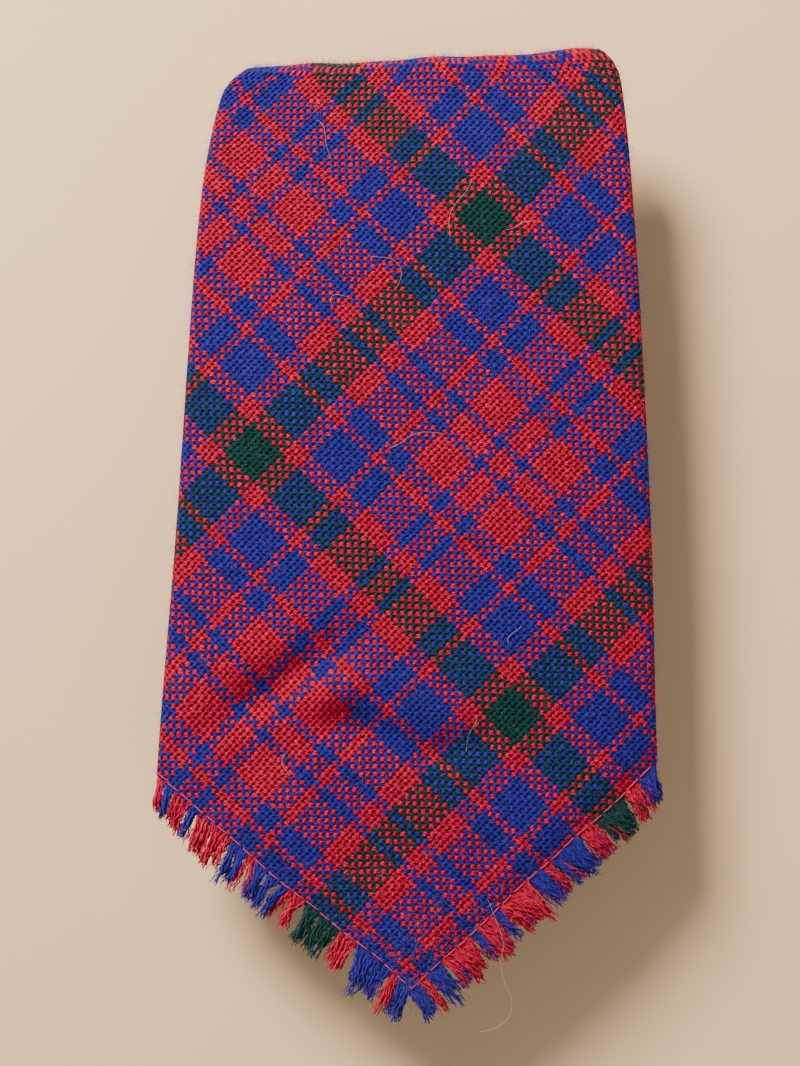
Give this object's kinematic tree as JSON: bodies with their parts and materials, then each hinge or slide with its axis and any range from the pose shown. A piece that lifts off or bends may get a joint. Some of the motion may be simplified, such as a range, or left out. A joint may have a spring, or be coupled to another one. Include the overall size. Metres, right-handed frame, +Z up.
{
  "type": "necktie",
  "caption": "Fringed, bias-cut necktie of tartan wool, folded flat with its pointed blade face up; its panels unfold at hinged bends.",
  "frame": {"origin": "middle of the folded tie's footprint, on the surface that it lies on", "axes": "+Y from the blade's point to the top fold, +Z up out of the blade's face, +X to the right with the point towards the viewer"},
  "size_m": [0.104, 0.1968, 0.0269],
  "materials": {
    "tartan_wool": "handwoven plain-weave wool tartan in red, blue and dark green, matt and slightly hairy",
    "wool_fringe": "freed wool yarns in the tartan's colours, soft and fuzzy",
    "interlining_wool": "undyed brushed wool interlining, matt",
    "red_thread": "thin red sewing thread, slight sheen"
  },
  "bodies": {
    "panel_1": {"blade_shell_tip": "tartan_wool", "interlining_1": "interlining_wool", "back_seam_1": "red_thread", "blade_fringe_left": "wool_fringe", "blade_fringe_right": "wool_fringe", "blade_stay_stitch": "red_thread", "blade_bar_tack": "red_thread"},
    "panel_2": {"blade_shell_middle": "tartan_wool", "interlining_2": "interlining_wool", "back_seam_2": "red_thread", "fold_1": "tartan_wool"},
    "panel_3": {"blade_shell_upper": "tartan_wool", "interlining_3": "interlining_wool", "back_seam_3": "red_thread", "fold_2": "tartan_wool"},
    "panel_4": {"blade_shell_end": "tartan_wool", "neck_shell_start": "tartan_wool", "interlining_4": "interlining_wool", "back_seam_4": "red_thread", "join_seam_blade_to_neck": "red_thread", "fold_3": "tartan_wool"},
    "panel_5": {"neck_shell_middle": "tartan_wool", "interlining_5": "interlining_wool", "back_seam_5": "red_thread", "fold_4": "tartan_wool"},
    "panel_6": {"neck_shell_end": "tartan_wool", "tail_shell_start": "tartan_wool", "interlining_6": "interlining_wool", "back_seam_6": "red_thread", "join_seam_neck_to_tail": "red_thread", "fold_5": "tartan_wool"},
    "panel_7": {"tail_shell_middle": "tartan_wool", "interlining_7": "interlining_wool", "back_seam_7": "red_thread", "fold_6": "tartan_wool"},
    "panel_8": {"tail_shell_tip": "tartan_wool", "interlining_8": "interlining_wool", "back_seam_8": "red_thread", "fold_7": "tartan_wool", "tail_fringe_left": "wool_fringe", "tail_fringe_right": "wool_fringe", "tail_stay_stitch": "red_thread", "tail_bar_tack": "red_thread"}
  },
  "joints": [
    {"name": "hinge_7", "type": "hinge", "parent": "panel_8", "child": "panel_7", "pos_m": [0, 0.09199, 0.00325], "axis": [-1, 0, 0], "range_deg": [0, 179], "deforming": ["fold_7"]},
    {"name": "hinge_6", "type": "hinge", "parent": "panel_7", "child": "panel_6", "pos_m": [0, -0.06883, 0.00665], "axis": [1, 0, 0], "range_deg": [0, 179], "deforming": ["fold_6"]},
    {"name": "hinge_5", "type": "hinge", "parent": "panel_6", "child": "panel_5", "pos_m": [0, 0.09449, 0.01005], "axis": [-1, 0, 0], "range_deg": [0, 179], "deforming": ["fold_5"]},
    {"name": "hinge_4", "type": "hinge", "parent": "panel_5", "child": "panel_4", "pos_m": [0, -0.06828, 0.01345], "axis": [1, 0, 0], "range_deg": [0, 179], "deforming": ["fold_4"]},
    {"name": "hinge_3", "type": "hinge", "parent": "panel_4", "child": "panel_3", "pos_m": [0, 0.09299, 0.01685], "axis": [-1, 0, 0], "range_deg": [0, 179], "deforming": ["fold_3"]},
    {"name": "hinge_2", "type": "hinge", "parent": "panel_3", "child": "panel_2", "pos_m": [0, -0.05463, 0.02025], "axis": [1, 0, 0], "range_deg": [0, 179], "deforming": ["fold_2"]},
    {"name": "hinge_1", "type": "hinge", "parent": "panel_2", "child": "panel_1", "pos_m": [0, 0.09599, 0.02365], "axis": [-1, 0, 0], "range_deg": [0, 179], "deforming": ["fold_1"]}
  ],
  "couplings": [
    {"joint": "hinge_6", "follows": "hinge_7", "ratio": 1},
    {"joint": "hinge_4", "follows": "hinge_5", "ratio": 1},
    {"joint": "hinge_2", "follows": "hinge_3", "ratio": 1}
  ]
}
